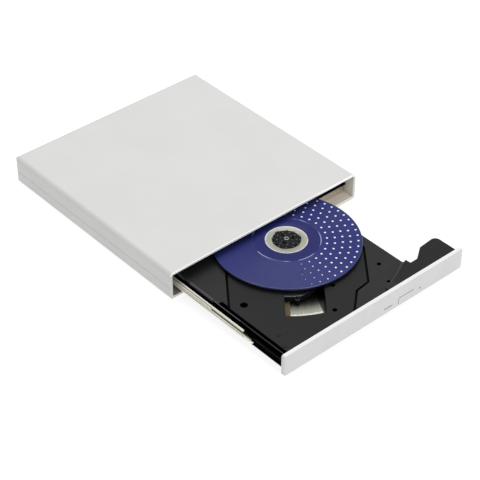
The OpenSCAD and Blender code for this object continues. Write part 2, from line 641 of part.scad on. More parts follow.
module bezel() color("#dcdcda") at_tray() difference() {
  union() {
    bezel_plate();
    for (x = [19.5 - bezel_x, 5.5]) {
      slab([x - 3, y_bezel_in - 0.1, z_base + 0.2], [x + 3, y_tray_front, z_deck + 0.7]);
      slab([x - 2, y_tray_front - 0.1, z_deck], [x + 2, y_tray_front + 2.2, z_deck + 0.7]);
    }
    slab([tray_r + 3, y_bezel_in - 0.1, z_ear_low - 0.6], [tray_r + 8, y_tray_front, z_ear - 0.3]);
    slab([tray_r + 4, y_tray_front - 0.1, z_ear_low - 0.6], [tray_r + 7, y_tray_front + 2.2, z_ear_low]);
    for (x = [6 - bezel_x, -20, pin_x - 2.1])
      slab([x, y_bezel_in - 0.1, z_base + 0.2], [x + 1.2, y_tray_front, z_deck - 0.5]);
    slab([bezel_x - 6, y_bezel_in - 0.1, z_ear_low], [bezel_x - 4.8, y_tray_front, z_ear]);
  }
  round_box(button_x - button_w / 2 - 0.3, button_x + button_w / 2 + 0.3,
    button_z - button_h / 2 - 0.3, button_z + button_h / 2 + 0.3, 0.9, y_front - 1, y_bezel_in + 1);
  slab([lamp_x - lamp_w / 2, y_front - 1, button_z - 0.55],
    [lamp_x + lamp_w / 2, y_bezel_in + 2, button_z + 0.55]);
  rod_y(pin_x, button_z, 0.6, y_front - 1, y_bezel_in + 3);
}
module eject_button() color("#d6d6d4") at_tray() {
  round_box(button_x - button_w / 2, button_x + button_w / 2,
    button_z - button_h / 2, button_z + button_h / 2, 0.6, y_front - button_proud, y_bezel_in + 0.1);
  slab([button_x - button_w / 2 - 0.6, y_bezel_in + 0.05, button_z - button_h / 2 - 0.5],
    [button_x + button_w / 2 + 0.6, y_bezel_in + 0.6, button_z + button_h / 2 + 0.5]);
  slab([button_x - 1.5, y_bezel_in + 0.5, button_z - 1],
    [button_x + 1.5, y_fboard - 1.5 - button_press, button_z + 1]);
}
module light_pipe() color("#e9efe2") at_tray()
  slab([lamp_x - lamp_w / 2, y_front, button_z - 0.55],
    [lamp_x + lamp_w / 2, y_wall_in - 0.9, button_z + 0.55]);
y_fboard = y_wall_in + 0.6;
module front_board() color("#2f6b45") at_tray()
  slab([board_l + 1, y_fboard, z_base], [board_r - 1, y_fboard + 1, z_deck_low - 0.1]);
module lamp() color("#dfe8c8") at_tray()
  slab([lamp_x - 1, y_wall_in - 0.9, button_z - 0.5], [lamp_x + 1, y_fboard, button_z + 0.5]);
module key_switch() color("#2a2b2d") at_tray() {
  slab([button_x - 2.2, y_fboard - 1.2, z_base + 0.1], [button_x + 2.2, y_fboard, button_z + 1.6]);
  rod_y(button_x, button_z, 0.8, y_fboard - 1.3, y_fboard - 1.1);
}

// latch
module solenoid() color("#7a5a34") at_tray() difference() {
  slab([lever_x - 18, lever_y - 9.4, z_base], [lever_x - 8, lever_y - 2.6, z_base + 3.6]);
  rod_x(lever_y - 6, z_base + 1.8, 0.9 + run_gap, lever_x - 14, lever_x - 7);
}
module plunger() color("#a9abad") at_tray() {
  rod_x(lever_y - 6, z_base + 1.8, 0.9, lever_x - 12, lever_x - 3);
  difference() {
    slab([lever_x - 3.2, lever_y - 8.2, z_base + 1.3], [lever_x + 2, lever_y - 3.8, z_base + 2.3]);
    slab([lever_x - 1.1, lever_y - 7.4, z_base], [lever_x + 1.1, lever_y - 4.4, z_base + 3]);
  }
}
module latch_lever() color("#cfcabb") at_tray() difference() {
  union() {
    rod(lever_x, lever_y, 2.2, z_base + 0.4, z_base + 1.2);
    slab([lever_x - 0.8, lever_y, z_base + 0.4], [lever_x + 0.8, lever_y + 12.5, z_base + 1.2]);
    slab([lever_x - 3.5, lever_y + 11, z_base + 0.4], [lever_x, lever_y + 12.5, z_base + 1.2]);
    slab([lever_x - 0.8, lever_y - 6, z_base + 0.4], [lever_x + 0.8, lever_y, z_base + 1.2]);
    rod(lever_x, lever_y - 6, 0.75, z_base + 0.4, z_base + 3);
  }
  rod(lever_x, lever_y, 1 + run_gap, z_base - 1, z_base + 4);
}

// optics on their damped frame, in the path's own frame
tab_in = lens_min - 14;
main_y = -12;
sub_y = 20;
screw_y = -21;
lens_max = bay_r - lens_edge;
main_out = lens_max + 8;
sub_out = lens_max;
screw_out = lens_max - 3;
motor_end = 13;
z_screw = z_shaft - 0.1;
module tab(x, y, w, h, r) difference() {
  slab([x, y - w, z_frame], [x + 1, y + w, z_shaft + h]);
  rod_x(y, z_shaft, r, x - 1, x + 2);
}
module traverse_frame() color("#cfccc2") {
  difference() {
    at_tray() plate(inset(cover_pts, ledge_w + 0.8), z_frame, z_frame_top);
    at_tray() for (p = damper_at) rod(p[0], p[1], 1.95, z_frame - 1, z_frame_top + 1);
  }
  at_path() {
    tab(tab_in, main_y, 1.9, 1.5, shaft_r);
    tab(main_out - 1, main_y, 1.9, 1.5, shaft_r);
    tab(tab_in, sub_y, 1.9, 1.5, shaft_r);
    tab(sub_out - 1, sub_y, 1.9, 1.5, shaft_r);
    difference() {
      slab([screw_out - 1.2, screw_y - 1.9, z_frame], [screw_out, screw_y + 1.9, z_screw + 1.5]);
      rod_x(screw_y, z_screw, 0.7 + run_gap, screw_out - 2, screw_out + 1);
    }
  }
}
module dampers() color("#2b2b2d") at_tray() for (p = damper_at) difference() {
  rod(p[0], p[1], 2.7, z_base, z_base + 1.9);
  difference() {
    rod(p[0], p[1], 3, z_frame, z_frame_top);
    rod(p[0], p[1], 1.9, z_frame - 1, z_frame_top + 1);
  }
  rod(p[0], p[1], 1.1, z_base - 1, z_base + 3);
}
module damper_screws() color("#9a9c9e") at_tray() for (p = damper_at) difference() {
  union() {
    rod(p[0], p[1], 0.6, z_base + 0.6, z_base + 2);
    rod(p[0], p[1], 2, z_base + 1.9, z_base + 2.5);
  }
  slab([p[0] - 1.2, p[1] - 0.2, z_base + 2.2], [p[0] + 1.2, p[1] + 0.2, z_base + 3]);
  slab([p[0] - 0.2, p[1] - 1.2, z_base + 2.2], [p[0] + 0.2, p[1] + 1.2, z_base + 3]);
}
module guide_shafts() color("#d2d4d6") at_path() {
  rod_x(main_y, z_shaft, shaft_r, tab_in, main_out);
  rod_x(sub_y, z_shaft, shaft_r, tab_in, sub_out);
}
module feed_motor() color("#b3b5b6") at_path() difference() {
  intersection() {
    rod_x(screw_y, z_screw, 3, -2, motor_end);
    slab([-3, screw_y - 4, z_frame_top], [motor_end + 1, screw_y + 4, z_cover - 0.1]);
  }
  rod_x(screw_y, z_screw, 0.7 + run_gap, motor_end - 4, motor_end + 1);
}
module lead_screw() color("#cdb98a") at_path() difference() {
  union() {
    rod_x(screw_y, z_screw, 0.7, motor_end - 3, screw_out);
    rod_x(screw_y, z_screw, 0.95, motor_end + 0.4, screw_out - 1.6);
  }
  slab([screw_out - 0.5, screw_y - 1, z_screw + 0.4], [screw_out + 1, screw_y + 1, z_screw + 2]);
}
module pickup_ribbon() color("#b98a3c") at_path() {
  slab([20, -3, z_frame_top], [bay_r - 5, -0.2, z_frame_top + 0.15]);
  slab([bay_r - 5.2, -9, z_frame_top], [bay_r - 2, -0.2, z_frame_top + 0.15]);
}

// spindle
base_r = 12.2;
can_r = 11.4;
tube_r = 2.6;
module spindle_base() color("#b8bab9") at_disc() difference() {
  union() {
    rod(0, 0, base_r, z_frame_top, z_frame_top + 0.5);
    rod(0, 0, tube_r, z_frame_top, z_deck - 1.4);
  }
  rod(0, 0, spindle_r + run_gap, z_frame_top + 0.4, z_deck);
}
module coils() color("#b06a35") at_disc() difference() {
  union() {
    rod(0, 0, 4.4, z_frame_top + 0.8, z_deck - 1.6);
    for (a = [0 : 40 : 320]) rotate([0, 0, a])
      slab([3.6, -1.1, z_frame_top + 1], [can_r - 1.4, 1.1, z_deck - 1.8]);
  }
  rod(0, 0, tube_r, z_frame_top, z_deck);
}
module rotor() color("#c6c8c9") at_disc() {
  difference() {
    rod(0, 0, can_r, z_frame_top + 1, z_deck - 0.2);
    rod(0, 0, can_r - 0.7, z_frame_top, z_deck - 1);
  }
  rod(0, 0, table_r, z_deck - 0.2, z_seat - 0.5);
  rod(0, 0, spindle_r, z_frame_top + 0.5, z_disc + 0.8);
}
module turntable_pad() color("#1f1f21") at_disc() difference() {
  rod(0, 0, table_r - 0.3, z_seat - 0.5, z_seat);
  rod(0, 0, 9.2, z_seat - 1, z_seat + 1);
}
hub_r = disc_hole_r - 0.15;
claw_w = 2;
module hub() color("#1e1e20") at_disc() difference() {
  union() {
    rod(0, 0, 9, z_seat - 0.5, z_seat);
    rod(0, 0, hub_r, z_seat - 0.1, z_disc + 0.2);
    cone(0, 0, hub_r, hub_r - 0.9, z_disc + 0.2, z_disc + 0.7);
  }
  rod(0, 0, spindle_r, z_seat - 1, z_disc + 2);
  for (a = [90, 210, 330]) rotate([0, 0, a])
    slab([3, -claw_w / 2 - slide_gap, z_seat + 0.2], [hub_r + 2, claw_w / 2 + slide_gap, z_disc + 2]);
}
module claw(a) at_disc() rotate([0, 0, a]) {
  slab([3.2 + claw_travel, -claw_w / 2, z_seat + 0.2], [hub_r - 0.3, claw_w / 2, z_disc + 0.55]);
  slab([hub_r - 0.4, -claw_w / 2, z_disc + 0.05], [hub_r + 0.5, claw_w / 2, z_disc + 0.55]);
}
module claw_a() color("#29292c") claw(90);
module claw_b() color("#29292c") claw(210);
module claw_c() color("#29292c") claw(330);
module disc() color("#42457f") at_disc() difference() {
  rod(0, 0, disc_r, z_seat, z_disc);
  rod(0, 0, disc_hole_r, z_seat - 1, z_disc + 1);
}

// pickup, in the path's own frame with the lens at the origin
sled_pts = [
  [13, -5], [6, -9], [6, -17], [-6, -17], [-6, screw_y + 1.4], [-10, screw_y + 1.4], [-10, -17], [-12, -17],
  [-12, 23], [-2.5, 23], [-2.5, 17.3], [0.5, 17.3], [9, 10.5], [12.2, 6], [13, 2]
];
module sled() color("#4a4b4d") at_lens() difference() {
  union() {
    plate(sled_pts, z_sled, z_sled_top);
    rod(13.4, 3.6, 1.3, z_sled, z_sled_top - 1);
  }
  rod_x(main_y, z_shaft, shaft_r + run_gap, -14, 15);
  rod_x(sub_y, z_shaft, shaft_r + run_gap, -14, 15);
  rod(-lens_min, 0, base_r + 2.6, z_sled - 1, z_deck);
  slab([-5, -5.6, z_sled + 1], [5, 5.6, z_deck]);
  rod(13.4, 3.6, 0.7, z_sled + 1, z_deck);
}
module sled_shield() color("#9d9fa0") at_lens() difference() {
  plate([[12.8, -4.8], [6, -8.6], [-9, -8.6], [-9, 13], [3, 13], [8.8, 10.3], [12, 6], [12.8, 2]],
    z_sled_top, z_sled_top + 0.15);
  slab([-5, -5.6, z_sled], [5, 5.6, z_deck]);
  rod(-lens_min, 0, base_r + 2.6, z_sled - 1, z_deck);
}
// the lens stays under the cover plate at full focus
focus_travel = 0.3;
z_lens = z_cover - focus_travel - 0.1;
module lens_holder() color("#2d2e31") at_lens() difference() {
  slab([-4.2, -4.8, z_sled + 1.5], [4.2, 4.8, z_sled_top - 0.4]);
  rod(0, 0, lens_r - 0.5, z_sled, z_deck);
  rod(0, 0, lens_r, z_lens - 1.1, z_deck);
}
module lens() color("#8fb0c8") at_lens() {
  rod(0, 0, lens_r, z_lens - 1.1, z_lens - 0.5);
  cone(0, 0, lens_r - 0.2, lens_r - 1.1, z_lens - 0.5, z_lens);
}

top_cover();
bottom_cover();
rubber_feet();
case_screws();
foam_pads();
bridge_board();
bridge_parts();
usb_port();
power_jack();
link_socket();
pan();
lid();
lid_screws();
main_board();
main_parts();
link_plug();
left_guide();
right_guide();
latch_post();
left_rail();
right_rail();
tray();
cover_plate();
cover_screws();
base_plate();
base_screws();
bezel();
light_pipe();
front_board();
lamp();
key_switch();
traverse_frame();
dampers();
damper_screws();
guide_shafts();
feed_motor();
spindle_base();
coils();
solenoid();
pickup_ribbon();
eject_button();
latch_lever();
plunger();
rotor();
turntable_pad();
hub();
claw_a();
claw_b();
claw_c();
disc();
lead_screw();
sled();
sled_shield();
lens_holder();
lens();
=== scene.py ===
"""Looks of a slim disc drive in an outer case, with its tray out and a small disc on the hub."""
import math

import bmesh
import bpy
from mathutils import Matrix, Vector


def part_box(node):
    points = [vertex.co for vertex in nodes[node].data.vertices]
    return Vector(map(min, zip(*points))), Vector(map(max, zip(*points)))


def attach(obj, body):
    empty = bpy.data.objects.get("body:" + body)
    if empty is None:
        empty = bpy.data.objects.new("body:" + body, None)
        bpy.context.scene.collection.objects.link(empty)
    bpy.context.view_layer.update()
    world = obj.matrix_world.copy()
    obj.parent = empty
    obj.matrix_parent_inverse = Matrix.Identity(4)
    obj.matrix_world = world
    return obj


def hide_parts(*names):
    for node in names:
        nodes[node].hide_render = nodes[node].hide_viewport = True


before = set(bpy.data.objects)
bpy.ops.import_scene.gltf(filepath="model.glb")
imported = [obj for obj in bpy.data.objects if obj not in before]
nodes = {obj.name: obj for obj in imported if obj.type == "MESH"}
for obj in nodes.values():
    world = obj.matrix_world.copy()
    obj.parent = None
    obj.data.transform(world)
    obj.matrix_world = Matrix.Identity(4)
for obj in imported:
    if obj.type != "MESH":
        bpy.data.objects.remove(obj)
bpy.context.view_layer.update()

MM = 0.001
UP = Vector((0.0, 0.0, 1.0))

# places read from the frame
disc_low, disc_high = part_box("disc")
DISC_CENTRE = (disc_low + disc_high) / 2
DISC_R = (disc_high.x - disc_low.x) / 2

# direction of the pickup's path, and the top of the pickup's post at rest, in millimetres
PATH_ANGLE = math.radians(230)
SLED_POST = {"x": (-23.8, -21.2), "y": (-77.1, -74.7), "z": (7.65, 8.0)}

# radii on the disc in millimetres: hole, bare ring, edge of the print, stacking ring
HOLE_R = 7.5
CLEAR_R = 10.8
BAND_R = 11.35
STACK_RING_R = 18.2

# radii of the foot and head of the tray's sloping wall, about the disc's centre
TRAY_WALL_R = (60.8, 62.4)

BLACK = (0.001, 0.001, 0.001)
STREAKS = (0.04, 1.0, 1.0)  # noise stretched along X, for rolled metal
WAVE_RATE = 20  # radians in one unit of a wave texture of scale 1


class Paint:
    """One procedural material, with short ways to add nodes to it. Lengths are in millimetres."""

    def __init__(self, name, color, roughness, metallic=0.0, **sockets):
        self.material = bpy.data.materials.new(name)
        self.material.use_nodes = True
        self.tree = self.material.node_tree
        self.shader = self.tree.nodes["Principled BSDF"]
        self.color = (*color, 1.0)
        self.roughness = roughness
        self.set("Base Color", self.color)
        self.set("Roughness", roughness)
        self.set("Metallic", metallic)
        for key, value in sockets.items():
            # coat_weight names the socket Coat Weight
            self.set(key.replace("_", " ").title().replace("Ior", "IOR"), value)
        self.color_out = None
        self.normal_out = None

    def set(self, socket, value):
        self.shader.inputs[socket].default_value = value

    def join(self, source, target):
        self.tree.links.new(source, target)

    def add(self, kind, inputs=None, **settings):
        made = self.tree.nodes.new("ShaderNode" + kind)
        for key, value in settings.items():
            setattr(made, key, value)
        for key, value in (inputs or {}).items():
            if isinstance(value, bpy.types.NodeSocket):
                self.join(value, made.inputs[key])
            else:
                made.inputs[key].default_value = value
        return made

    def math(self, operation, a, b=0.0, c=0.0):
        return self.add("Math", {0: a, 1: b, 2: c}, operation=operation).outputs[0]

    def place(self, origin=(0.0, 0.0, 0.0), turn=0.0, stretch=(1.0, 1.0, 1.0)):
        """Place on the piece in millimetres from origin, turned about Z and stretched."""
        coords = self.add("TexCoord").outputs["Object"]
        moved = self.add("VectorMath", {0: coords, 1: origin}, operation="SUBTRACT").outputs[0]
        spin = {"Vector": moved, "Angle": -turn}
        turned = self.add("VectorRotate", spin, rotation_type="Z_AXIS").outputs[0]
        scale = [s / MM for s in stretch]
        return self.add("VectorMath", {0: turned, 1: scale}, operation="MULTIPLY").outputs[0]

    def polar(self, origin):
        """Distance from an upright axis in millimetres, and the angle about it."""
        here = self.add("SeparateXYZ", {0: self.place(origin=origin)}).outputs
        flat = self.add("CombineXYZ", {"X": here["X"], "Y": here["Y"]}).outputs[0]
        radius = self.add("VectorMath", {0: flat}, operation="LENGTH").outputs["Value"]
        return radius, self.math("ARCTAN2", here["Y"], here["X"])

    def within(self, soft=0.1, **ranges):
        """1 inside a box, given as x=(low, high) and so on in millimetres, and 0 outside it."""
        here = self.add("SeparateXYZ", {0: self.place()}).outputs
        inside = None
        for axis, (low, high) in ranges.items():
            along = here[axis.upper()]
            rise = self.spread(along, low - soft, low + soft)
            fall = self.spread(along, high + soft, high - soft)
            band = self.math("MULTIPLY", rise, fall)
            inside = band if inside is None else self.math("MULTIPLY", inside, band)
        return inside

    def noise(self, size, detail=2.0, turn=0.0, stretch=(1.0, 1.0, 1.0)):
        where = self.place(turn=turn, stretch=stretch)
        values = {"Vector": where, "Scale": 1.0 / size, "Detail": detail}
        return self.add("TexNoise", values).outputs["Fac"]

    def spread(self, value, low, high, to_low=0.0, to_high=1.0):
        """Goes from to_low to to_high as value goes from low to high, and stays there beyond them."""
        values = {"Value": value, "From Min": low, "From Max": high,
                  "To Min": to_low, "To Max": to_high}
        return self.add("MapRange", values).outputs["Result"]

    def tint(self, amount, color):
        """Lays another colour over the surface where amount is near 1."""
        mixed = self.add("Mix", {"Factor": amount}, data_type="RGBA")
        under, over, result = mixed.inputs[6], mixed.inputs[7], mixed.outputs[2]
        if self.color_out is None:
            under.default_value = self.color
        else:
            self.join(self.color_out, under)
        over.default_value = (*color, 1.0)
        self.color_out = result
        self.join(result, self.shader.inputs["Base Color"])

    def mottle(self, size, change, **noise):
        """Colour that drifts lighter and darker over the surface."""
        drift = self.noise(size, **noise)
        light = [min(1.0, c * (1 + change)) for c in self.color[:3]]
        dark = [c * (1 - change) for c in self.color[:3]]
        self.tint(self.spread(drift, 0.45, 0.75), light)
        self.tint(self.spread(drift, 0.55, 0.25), dark)

    def gloss(self, size, change, **noise):
        """Roughness that drifts up and down over the surface."""
        low, high = self.roughness - change, self.roughness + change
        drift = self.spread(self.noise(size, **noise), 0.3, 0.7, low, high)
        self.join(drift, self.shader.inputs["Roughness"])

    def relief(self, height, depth):
        """Raises the surface by depth where height is 1."""
        bump = self.add("Bump", {"Height": height, "Distance": depth * MM})
        if self.normal_out is not None:
            self.join(self.normal_out, bump.inputs["Normal"])
        self.normal_out = bump.outputs["Normal"]
        self.join(self.normal_out, self.shader.inputs["Normal"])

    def grain(self, size, depth, detail=3.0, **noise):
        """Fine random relief."""
        self.relief(self.noise(size, detail=detail, **noise), depth)

    def edge_highlight_and_shade(self, width, color, strength=1.0):
        """Another tone along the edges: painted highlight where it is paler, painted shade where it
        is darker.
        """
        rounded = self.add("Bevel", {"Radius": width * MM}, samples=4).outputs["Normal"]
        flat = self.add("NewGeometry").outputs["Normal"]
        pair = {0: rounded, 1: flat}
        agree = self.add("VectorMath", pair, operation="DOT_PRODUCT").outputs["Value"]
        self.tint(self.spread(agree, 0.97, 0.75, 0.0, strength), color)


# materials of the case and the bezel
def case_plastic():
    """White outside with a painted highlight on the lip over the mouth, and warm, unpainted walls
    inside, also painted brighter than the outside as painted light.

    The left part of the inner floor is a darker olive, as painted shade.
    """
    low, high = (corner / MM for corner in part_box("top_cover"))
    wall, lip, beyond = 1.5, 0.5, 1.0
    mouth = low.y - beyond
    inner = {"x": (low.x + wall, high.x - wall), "y": (mouth, high.y - wall),
             "z": (1.75, high.z - wall + 0.2)}
    shaded_left_floor = {**inner, "x": (-63.9, 0.0), "z": (2.0, 4.0)}
    edge = {"y": (mouth, low.y + lip), "z": (high.z - wall, high.z + beyond)}
    paint = Paint("case_plastic", (0.585, 0.585, 0.575), 0.46)
    paint.mottle(26.0, 0.018)
    # painted light: warm inner walls, brighter than the outside white, lifting the shaded mouth
    paint.tint(paint.within(soft=0.05, **inner), (0.90, 0.835, 0.725))
    # painted shade: darker olive on the left of the inner floor
    paint.tint(paint.within(soft=0.5, **shaded_left_floor), (0.22, 0.215, 0.165))
    paint.gloss(1.6, 0.05)
    paint.grain(0.7, 0.006)
    # painted highlight: paler along the edges
    paint.edge_highlight_and_shade(0.35, (0.74, 0.74, 0.73), 0.7)
    # painted highlight: pale lip along the front top edge
    paint.tint(paint.within(**edge), (0.90, 0.90, 0.89))
    return paint.material


def bezel_plastic():
    """White, with painted highlights along its edges and on its top edge."""
    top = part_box("bezel")[1].z / MM
    paint = Paint("bezel_plastic", (0.595, 0.60, 0.595), 0.38)
    paint.mottle(14.0, 0.02)
    paint.gloss(1.2, 0.05)
    paint.grain(0.5, 0.005)
    # painted highlight: paler along the edges
    paint.edge_highlight_and_shade(0.3, (0.80, 0.80, 0.79), 0.8)
    # painted highlight: paler top edge
    paint.tint(paint.within(z=(top - 0.3, top + 1.0)), (0.72, 0.72, 0.715))
    return paint.material


def foot_rubber():
    paint = Paint("foot_rubber", (0.035, 0.035, 0.037), 0.72)
    paint.mottle(3.0, 0.12)
    paint.grain(0.35, 0.02)
    return paint.material


def pad_foam():
    paint = Paint("pad_foam", (0.075, 0.075, 0.08), 0.9)
    cells = paint.add("TexVoronoi", {"Vector": paint.place(), "Scale": 1.6}).outputs["Distance"]
    paint.tint(paint.spread(cells, 0.15, 0.5), (0.12, 0.12, 0.125))
    paint.relief(cells, 0.12)
    return paint.material


# materials of the tray
def tray_plastic():
    """Grained black, with painted shade making it dead black in the joints and sides below the deck,
    and painted highlights paling ridge and wall.
    """
    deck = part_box("cover_plate")[1].z / MM - 0.3
    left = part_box("left_rail")[1].x / MM
    above = deck + 4.0
    raised = {"x": (20.0, 70.0), "z": (deck + 0.7, above)}
    ridge = {"x": (left, left + 2.1), "y": (-71.0, -33.0), "z": (deck - 0.7, deck + 1.6)}
    foot, head = TRAY_WALL_R
    soft = 0.2
    paint = Paint("tray_plastic", (0.017, 0.0175, 0.0172), 0.44, specular_ior_level=0.14)
    paint.mottle(18.0, 0.1)
    # painted shade: the raised right part is darker
    paint.tint(paint.within(**raised), (0.009, 0.0095, 0.0092))
    paint.gloss(2.4, 0.07)
    paint.grain(0.55, 0.02)
    # painted highlight: paler along the edges
    paint.edge_highlight_and_shade(0.3, (0.03, 0.031, 0.03), 0.35)
    # painted shade: dead black below the deck, made metallic there so that it reflects nothing
    shade = paint.within(z=(0.0, deck - 0.35))
    paint.tint(shade, BLACK)
    paint.join(shade, paint.shader.inputs["Metallic"])
    # painted highlight: paler ridge, stopping short of the mouth where the case's shade falls
    paint.tint(paint.within(soft=0.3, **ridge), (0.056, 0.053, 0.060))
    # painted highlight: paler band on the sloping wall round the disc
    radius = paint.polar(DISC_CENTRE)[0]
    rise = paint.spread(radius, foot, foot + soft)
    wall = paint.math("MULTIPLY", rise, paint.spread(radius, head + soft, head))
    wall = paint.math("MULTIPLY", wall, paint.within(z=(deck + 0.1, above)))
    paint.tint(wall, (0.075, 0.077, 0.075))
    return paint.material


def cover_paint():
    """Satin black, with painted shade darkening it along its edges and round its holes."""
    paint = Paint("cover_paint", (0.010, 0.0106, 0.0102), 0.4, specular_ior_level=0.13)
    paint.mottle(24.0, 0.1)
    paint.gloss(3.0, 0.06)
    paint.grain(0.9, 0.012, detail=1.0)
    # painted shade: black along the edges and round the holes
    paint.edge_highlight_and_shade(0.7, BLACK)
    return paint.material


def moulded(name, color, roughness=0.5, depth=0.008, shine=0.5, paler_patch=None):
    """Moulded or cast part in one colour; rubbed is a box where it is worn to a lighter tone."""
    paint = Paint(name, color, roughness, specular_ior_level=shine)
    paint.mottle(5.0, 0.06)
    if paler_patch:
        paint.tint(paint.within(soft=0.05, **paler_patch), [c * 5.0 for c in color])
    paint.gloss(1.5, 0.06)
    paint.grain(0.4, depth)
    # painted highlight: paler along the edges
    paint.edge_highlight_and_shade(0.15, [min(1.0, c * 1.5 + 0.01) for c in color], 0.6)
    return paint.material


# metals
def rolled_steel(name, color, roughness, turn=0.0, streak=0.08, shade_box=None):
    """Sheet metal with fine rolling streaks along its own X axis, turned about Z.

    streak is how far they change the tone, and the box given last is painted black there as painted
    shade.
    """
    paint = Paint(name, color, roughness, metallic=1.0)
    along = {"turn": turn, "stretch": STREAKS}
    paint.mottle(1.1, streak, detail=3.0, **along)
    paint.gloss(0.7, streak, **along)
    paint.grain(0.45, streak * 0.05, **along)
    # painted highlight: paler along the edges
    paint.edge_highlight_and_shade(0.12, [min(1.0, c * 1.2) for c in color], 0.6)
    if shade_box:
        # painted shade: black inside the given box
        paint.tint(paint.within(**shade_box), (0.004, 0.004, 0.004))
    return paint.material


def pan_lip():
    """Raised front lip of the pan, where black is painted as shade."""
    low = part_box("pan")[0] / MM
    return {"y": (low.y - 1.0, low.y + 3.0), "z": (low.z + 5.2, low.z + 6.4)}


def frame_steel():
    """Plate under the pickup, with a painted highlight at its outer rim, painted shade darkening it
    inward and painted shade blackening one side.

    Fade and rim are radii about the disc's centre, and the dark side starts at a distance across.
    """
    fade, rim, side = (50.3, 45.2), (51.3, 51.9), (4.0, 4.6)
    side_turn = PATH_ANGLE + math.radians(13.5)
    paint = Paint("frame_steel", (0.345, 0.345, 0.295), 0.27, metallic=1.0)
    along = {"turn": PATH_ANGLE, "stretch": STREAKS}
    paint.mottle(1.1, 0.03, detail=3.0, **along)
    radius = paint.polar(DISC_CENTRE)[0]
    # painted shade: darker inward, under the disc
    paint.tint(paint.spread(radius, *fade), (0.125, 0.125, 0.115))
    # painted highlight: bright line along the outer rim
    paint.tint(paint.spread(radius, *rim, 0.0, 0.8), (0.75, 0.74, 0.66))
    # painted shade: one side blackened, under the cover's edge
    slant = paint.place(origin=DISC_CENTRE, turn=side_turn)
    across = paint.add("SeparateXYZ", {0: slant}).outputs["Y"]
    paint.tint(paint.spread(across, *side, 0.0, 0.93), (0.03, 0.03, 0.027))
    paint.gloss(0.7, 0.02, **along)
    paint.grain(0.45, 0.001, **along)
    return paint.material


def rail_steel():
    """Cream plate, with painted shade greying its upper flange and painted shade as dark lines along
    the flange and under it.
    """
    low, high = (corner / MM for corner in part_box("left_rail"))
    rail_shade = (0.03, 0.03, 0.027)
    flange = {"z": (high.z - 0.3, high.z + 1.0)}
    line = {"x": (low.x + 0.35, low.x + 0.8), **flange}
    paint = Paint("rail_steel", (0.90, 0.88, 0.77), 0.4, metallic=0.25)
    along = {"turn": math.pi / 2, "stretch": STREAKS}
    paint.mottle(1.1, 0.06, detail=3.0, **along)
    # painted shade: greyer upper flange
    paint.tint(paint.within(**flange), (0.58, 0.565, 0.48))
    # painted shade: dark line along the flange's edge and on the web below it
    paint.tint(paint.within(soft=0.04, **line), rail_shade)
    paint.tint(paint.within(z=(low.z + 1.5, high.z - 0.65)), rail_shade)
    paint.gloss(0.7, 0.07, **along)
    paint.grain(0.45, 0.004, **along)
    # painted highlight: paler along the edges
    paint.edge_highlight_and_shade(0.12, (0.86, 0.85, 0.74), 0.5)
    return paint.material


def turned_metal(name, color, roughness, pitch=0.0, depth=0.0):
    """Round stock along the pickup's path, with a thread of that pitch and depth if one is given."""
    paint = Paint(name, color, roughness, metallic=1.0)
    paint.mottle(2.0, 0.06)
    paint.gloss(0.8, 0.05)
    if pitch:
        along = paint.place(turn=PATH_ANGLE)
        values = {"Vector": along, "Scale": 2 * math.pi / pitch / WAVE_RATE}
        thread = paint.add("TexWave", values, bands_direction="X").outputs["Fac"]
        paint.relief(thread, depth)
    else:
        paint.grain(0.3, 0.003)
    return paint.material


def wound_wire():
    paint = Paint("wound_wire", (0.44, 0.17, 0.055), 0.32, metallic=1.0)
    paint.mottle(1.2, 0.18)
    values = {"Vector": paint.place(), "Scale": 1.1}
    turns = paint.add("TexWave", values, bands_direction="DIAGONAL").outputs["Fac"]
    paint.relief(turns, 0.05)
    return paint.material


# electronics
def board_lacquer():
    paint = Paint("board_lacquer", (0.02, 0.10, 0.045), 0.35)
    tracks = {"Vector": paint.place(turn=math.radians(45)), "Scale": 0.5, "Mortar Size": 0.05}
    lines = paint.add("TexBrick", tracks).outputs["Fac"]
    paint.tint(lines, (0.05, 0.19, 0.08))
    paint.mottle(9.0, 0.08)
    paint.relief(lines, 0.02)
    return paint.material


def film_ribbon():
    """Amber film with copper tracks along the pickup's path."""
    paint = Paint("film_ribbon", (0.075, 0.070, 0.034), 0.4, specular_ior_level=0.2)
    values = {"Vector": paint.place(turn=PATH_ANGLE), "Scale": 0.55}
    tracks = paint.add("TexWave", values, bands_direction="Y").outputs["Fac"]
    paint.tint(paint.spread(tracks, 0.45, 0.6), (0.13, 0.085, 0.028))
    paint.relief(tracks, 0.01)
    return paint.material


def frosted_pipe():
    paint = Paint("frosted_pipe", (0.40, 0.425, 0.375), 0.45, transmission_weight=0.2)
    paint.mottle(1.2, 0.04)
    paint.grain(0.3, 0.004)
    return paint.material


def lens_glass():
    paint = Paint("lens_glass", (0.42, 0.60, 0.78), 0.05, transmission_weight=0.8, ior=1.5,
                  coat_weight=0.6)
    paint.gloss(1.0, 0.03)
    return paint.material


